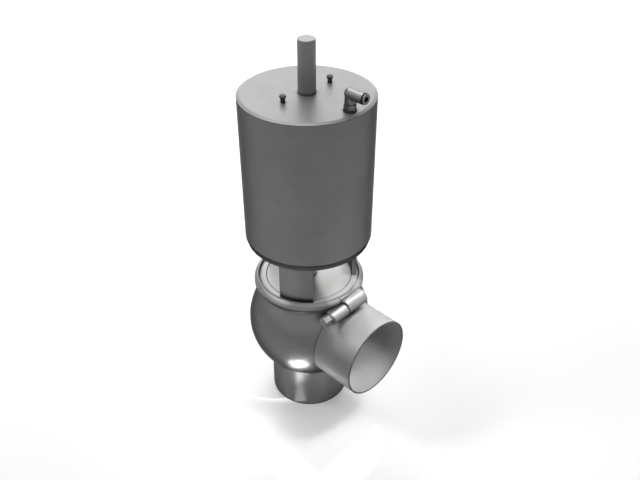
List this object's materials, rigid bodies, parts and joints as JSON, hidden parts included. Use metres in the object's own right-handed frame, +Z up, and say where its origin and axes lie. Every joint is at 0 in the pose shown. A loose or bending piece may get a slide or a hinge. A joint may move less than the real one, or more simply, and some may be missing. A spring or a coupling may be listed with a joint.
{
  "type": "sanitary single seat valve",
  "caption": "Air-actuated sanitary single seat valve: ball-shaped L body with butt-weld ports, V clamp, open yoke, cylinder actuator, indicator rod and push-in air elbow.",
  "frame": {"origin": "centre of the bottom port's end face, on the stem's axis", "axes": "+Z up the stem to the indicator rod, +X along the side port, +Y to its left"},
  "size_m": [0.1511, 0.1174, 0.372],
  "materials": {
    "body_steel": "satin, fine brushed",
    "machined_steel": "fine turned",
    "cylinder_steel": "satin, brushed round the axis",
    "clamp_steel": "tumbled, slightly bright",
    "fastener_steel": "machined",
    "rod_steel": "ground",
    "piston_alloy": "turned",
    "spring_steel": "drawn wire",
    "fitting_brass": "nickel plated",
    "grip_steel": "stamped",
    "seal_rubber": "matte",
    "bush_plastic": "smooth"
  },
  "bodies": {
    "housing": {"valve_body": "body_steel", "side_port": "body_steel", "bottom_port": "body_steel", "seat_ring": "body_steel", "bonnet": "machined_steel", "bonnet_gasket": "seal_rubber", "stem_seal": "seal_rubber", "stem_bush": "bush_plastic", "yoke": "machined_steel", "actuator_base": "machined_steel", "base_bush": "bush_plastic", "base_rod_seal": "seal_rubber", "base_o_ring": "seal_rubber", "base_lock_wire": "fastener_steel", "cylinder_tube": "cylinder_steel", "actuator_lid": "machined_steel", "lid_bush": "bush_plastic", "lid_rod_seal": "seal_rubber", "lid_o_ring": "seal_rubber", "lid_lock_wire": "fastener_steel", "lid_studs": "machined_steel", "elbow_base": "fitting_brass", "elbow_o_ring": "seal_rubber", "return_spring": "spring_steel"},
    "stem_group": {"piston": "piston_alloy", "piston_seal": "seal_rubber", "piston_guide_ring": "bush_plastic", "stem_o_ring": "seal_rubber", "actuator_stem": "rod_steel", "top_rod": "rod_steel", "stem_lock_nut": "fastener_steel", "valve_stem": "rod_steel", "plug": "machined_steel", "plug_seal": "seal_rubber"},
    "air_elbow": {"elbow_body": "fitting_brass", "tube_o_ring": "seal_rubber", "tube_grip_ring": "grip_steel"},
    "collar": {"release_collar": "fitting_brass"},
    "clamp_right": {"clamp_half_right": "clamp_steel", "clamp_hinge_pin": "clamp_steel"},
    "clamp_left": {"clamp_half_left": "clamp_steel"},
    "bolt_carrier": {"clamp_washer": "fastener_steel"},
    "bolt": {"clamp_bolt": "fastener_steel"}
  },
  "joints": [
    {"name": "stem_travel", "type": "slide", "parent": "housing", "child": "stem_group", "axis": [0, 0, 1], "range_m": [-0.028, 0], "stiffness_N_per_m": 18000, "springref_m": 0.022, "deforming": ["return_spring"]},
    {"name": "elbow_swivel", "type": "hinge", "parent": "housing", "child": "air_elbow", "pos_m": [0.047, 0, 0.3417], "axis": [0, 0, 1], "continuous": true},
    {"name": "collar_press", "type": "slide", "parent": "air_elbow", "child": "collar", "axis": [-1, 0, 0], "range_m": [0, 0.0008], "stiffness_N_per_m": 600, "springref_m": -0.001},
    {"name": "clamp_right_swing", "type": "hinge", "parent": "housing", "child": "clamp_right", "pos_m": [-0.0586, 0, 0.13875], "axis": [0, 0, 1], "range_deg": [0, 0.771]},
    {"name": "clamp_left_swing", "type": "hinge", "parent": "housing", "child": "clamp_left", "pos_m": [-0.0586, 0, 0.13875], "axis": [0, 0, -1], "range_deg": [0, 0.771]},
    {"name": "clamp_bolt_travel", "type": "slide", "parent": "clamp_right", "child": "bolt_carrier", "axis": [0, -1, 0], "range_m": [0, 0.00306]},
    {"name": "clamp_bolt_turn", "type": "hinge", "parent": "bolt_carrier", "child": "bolt", "pos_m": [0.0551, -0.029, 0.13655], "axis": [0, -1, 0], "range_deg": [0, 1080]}
  ],
  "couplings": [
    {"joint": "clamp_bolt_travel", "follows": "clamp_bolt_turn", "m_per_rad": 0.00015915},
    {"joint": "clamp_right_swing", "follows": "clamp_bolt_turn", "ratio": 0.00069989},
    {"joint": "clamp_left_swing", "follows": "clamp_bolt_turn", "ratio": 0.00069989}
  ]
}
